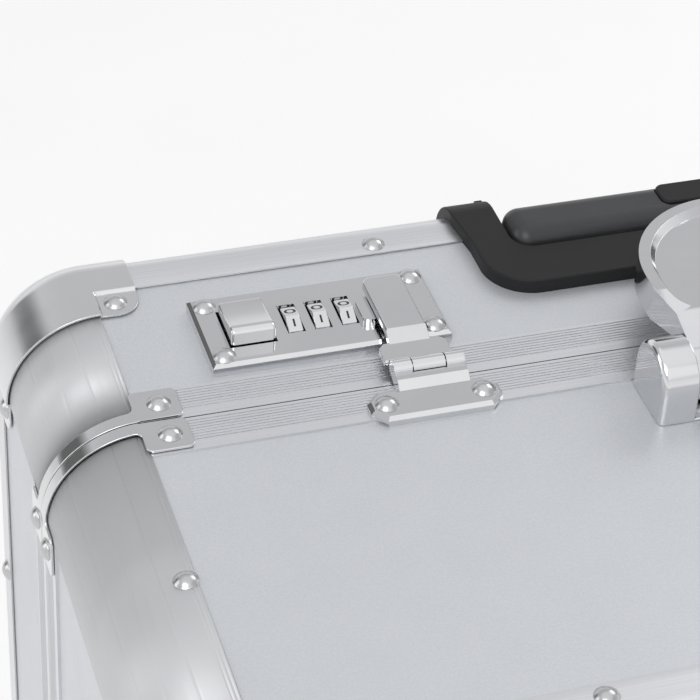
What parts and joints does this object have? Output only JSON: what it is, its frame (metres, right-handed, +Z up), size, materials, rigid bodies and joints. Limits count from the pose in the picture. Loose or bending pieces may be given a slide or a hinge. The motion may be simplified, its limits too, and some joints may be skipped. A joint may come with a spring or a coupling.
{
  "type": "pilot case",
  "caption": "Upright panelled trolley case with an aluminium frame, chrome corner caps, combination latches, a folding carry handle, a telescopic grip and wheels.",
  "frame": {"origin": "centre of the bounding box's underside, on the floor that the case stands on", "axes": "+X along the case's width, to the right seen from the lid; +Y to the back, with the wheels; +Z up"},
  "size_m": [0.4758, 0.2312, 0.4085],
  "materials": {
    "aluminium_profile": "satin extruded, fine ribs",
    "panel_silver": "silver laminate, satin",
    "chrome": "polished plate",
    "steel": "plain zinc plated",
    "black_plastic": "fine grained, matte",
    "grip_plastic": "smooth, satin",
    "dial_chrome": "polished, faceted",
    "tube_aluminium": "anodised",
    "lining": "woven lining on board",
    "rubber": "matte",
    "tyre": "matte"
  },
  "bodies": {
    "back_half": {"back_frame": "aluminium_profile", "back_edge_profiles": "aluminium_profile", "back_corner_profiles": "aluminium_profile", "back_corner_caps": "chrome", "back_frame_brackets": "chrome", "back_rivets": "chrome", "back_top_panel": "panel_silver", "back_bottom_panel": "panel_silver", "back_side_panels": "panel_silver", "back_panel": "panel_silver", "back_lining": "lining", "wheel_housings": "black_plastic", "wheel_axles": "steel", "trolley_bezel": "black_plastic", "trolley_outer_tubes": "tube_aluminium", "trolley_tube_feet": "black_plastic", "hinge_back_leaves": "steel", "hinge_pins": "steel", "lock_plates": "chrome", "lock_cases": "steel", "dial_spindles": "steel"},
    "lid": {"front_frame": "aluminium_profile", "front_edge_profiles": "aluminium_profile", "front_corner_profiles": "aluminium_profile", "front_corner_caps": "chrome", "front_frame_brackets": "chrome", "front_rivets": "chrome", "front_top_panel": "panel_silver", "front_bottom_panel": "panel_silver", "front_side_panels": "panel_silver", "front_panel": "panel_silver", "front_lining": "lining", "front_seal": "rubber", "handle_brackets": "chrome", "handle_pins": "steel", "hasp_bases": "chrome", "hasp_pins": "steel", "front_feet": "rubber", "hinge_front_leaves": "steel"},
    "carry_handle": {"carry_handle": "chrome"},
    "left_hasp": {"left_hasp": "chrome"},
    "right_hasp": {"right_hasp": "chrome"},
    "left_wheel": {"left_wheel": "black_plastic", "left_tyre": "tyre"},
    "right_wheel": {"right_wheel": "black_plastic", "right_tyre": "tyre"},
    "trolley_middle": {"trolley_middle_tubes": "tube_aluminium"},
    "trolley_handle": {"trolley_inner_tubes": "tube_aluminium", "trolley_grip": "grip_plastic"},
    "trolley_button": {"trolley_button": "black_plastic"},
    "left_dial_1": {"left_dial_1": "dial_chrome"},
    "left_dial_2": {"left_dial_2": "dial_chrome"},
    "left_dial_3": {"left_dial_3": "dial_chrome"},
    "left_lock_button": {"left_lock_button": "chrome"},
    "left_lock_bolt": {"left_lock_bolt": "steel"},
    "right_dial_1": {"right_dial_1": "dial_chrome"},
    "right_dial_2": {"right_dial_2": "dial_chrome"},
    "right_dial_3": {"right_dial_3": "dial_chrome"},
    "right_lock_button": {"right_lock_button": "chrome"},
    "right_lock_bolt": {"right_lock_bolt": "steel"}
  },
  "joints": [
    {"name": "lid_hinge", "type": "hinge", "parent": "back_half", "child": "lid", "pos_m": [0, 0.032, 0.0107], "axis": [1, 0, 0], "range_deg": [0, 95]},
    {"name": "carry_handle_pivot", "type": "hinge", "parent": "lid", "child": "carry_handle", "pos_m": [0, 0.0075, 0.3935], "axis": [1, 0, 0], "range_deg": [0, 150]},
    {"name": "left_hasp_pivot", "type": "hinge", "parent": "lid", "child": "left_hasp", "pos_m": [-0.1217, 0.034, 0.3882], "axis": [1, 0, 0], "range_deg": [0, 140]},
    {"name": "right_hasp_pivot", "type": "hinge", "parent": "lid", "child": "right_hasp", "pos_m": [0.1217, 0.034, 0.3882], "axis": [1, 0, 0], "range_deg": [0, 140]},
    {"name": "left_wheel_spin", "type": "hinge", "parent": "back_half", "child": "left_wheel", "pos_m": [-0.17, 0.091, 0.025], "axis": [1, 0, 0], "continuous": true},
    {"name": "right_wheel_spin", "type": "hinge", "parent": "back_half", "child": "right_wheel", "pos_m": [0.17, 0.091, 0.025], "axis": [1, 0, 0], "continuous": true},
    {"name": "trolley_lower_slide", "type": "slide", "parent": "back_half", "child": "trolley_middle", "axis": [0, 0, 1], "range_m": [0, 0.26]},
    {"name": "trolley_upper_slide", "type": "slide", "parent": "trolley_middle", "child": "trolley_handle", "axis": [0, 0, 1], "range_m": [0, 0.26]},
    {"name": "trolley_button_press", "type": "slide", "parent": "trolley_handle", "child": "trolley_button", "axis": [0, 0, -1], "range_m": [0, 0.0025], "stiffness_N_per_m": 1500, "springref_m": -0.001},
    {"name": "left_dial_1_spin", "type": "hinge", "parent": "back_half", "child": "left_dial_1", "pos_m": [-0.1537, 0.0648, 0.3811], "axis": [1, 0, 0], "continuous": true},
    {"name": "left_dial_2_spin", "type": "hinge", "parent": "back_half", "child": "left_dial_2", "pos_m": [-0.14545, 0.0648, 0.3811], "axis": [1, 0, 0], "continuous": true},
    {"name": "left_dial_3_spin", "type": "hinge", "parent": "back_half", "child": "left_dial_3", "pos_m": [-0.1372, 0.0648, 0.3811], "axis": [1, 0, 0], "continuous": true},
    {"name": "left_lock_button_press", "type": "slide", "parent": "back_half", "child": "left_lock_button", "axis": [0, 0, -1], "range_m": [0, 0.002], "stiffness_N_per_m": 1500, "springref_m": -0.001},
    {"name": "left_lock_bolt_slide", "type": "slide", "parent": "back_half", "child": "left_lock_bolt", "axis": [-1, 0, 0], "range_m": [0, 0.002]},
    {"name": "right_dial_1_spin", "type": "hinge", "parent": "back_half", "child": "right_dial_1", "pos_m": [0.1537, 0.0648, 0.3811], "axis": [1, 0, 0], "continuous": true},
    {"name": "right_dial_2_spin", "type": "hinge", "parent": "back_half", "child": "right_dial_2", "pos_m": [0.14545, 0.0648, 0.3811], "axis": [1, 0, 0], "continuous": true},
    {"name": "right_dial_3_spin", "type": "hinge", "parent": "back_half", "child": "right_dial_3", "pos_m": [0.1372, 0.0648, 0.3811], "axis": [1, 0, 0], "continuous": true},
    {"name": "right_lock_button_press", "type": "slide", "parent": "back_half", "child": "right_lock_button", "axis": [0, 0, -1], "range_m": [0, 0.002], "stiffness_N_per_m": 1500, "springref_m": -0.001},
    {"name": "right_lock_bolt_slide", "type": "slide", "parent": "back_half", "child": "right_lock_bolt", "axis": [1, 0, 0], "range_m": [0, 0.002]}
  ],
  "couplings": [
    {"joint": "left_lock_bolt_slide", "follows": "left_lock_button_press", "ratio": 1},
    {"joint": "right_lock_bolt_slide", "follows": "right_lock_button_press", "ratio": 1}
  ]
}
